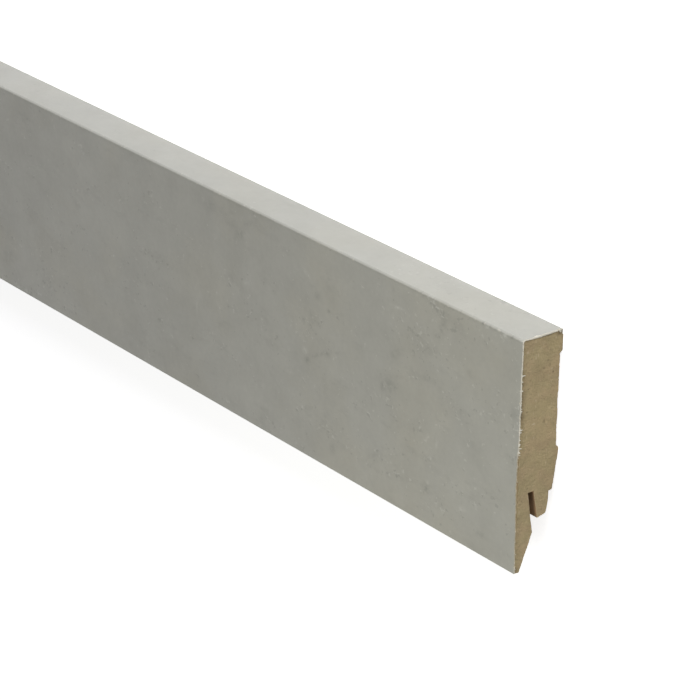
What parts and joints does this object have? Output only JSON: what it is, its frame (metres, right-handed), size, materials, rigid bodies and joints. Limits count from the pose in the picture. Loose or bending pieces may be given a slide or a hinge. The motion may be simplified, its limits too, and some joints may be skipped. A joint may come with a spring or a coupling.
{
  "type": "skirting board",
  "caption": "Flat skirting board with a thin top edge, a concrete-look foil on a milled fibreboard core, and a slanted slot in its foot for wall clips.",
  "frame": {"origin": "on the floor under the middle of the board, which lies on its back: half its length, half its height, and the plane of the two lands that sit on the wall", "axes": "+X along the board, +Y up the wall towards the board's top edge, +Z away from the wall, out of the decor face"},
  "size_m": [2.4, 0.058, 0.012],
  "materials": {
    "raw_fibreboard": "matte",
    "concrete_foil": "matte"
  },
  "bodies": {
    "root": {"mdf_core": "raw_fibreboard", "decor_foil": "concrete_foil"}
  },
  "joints": []
}
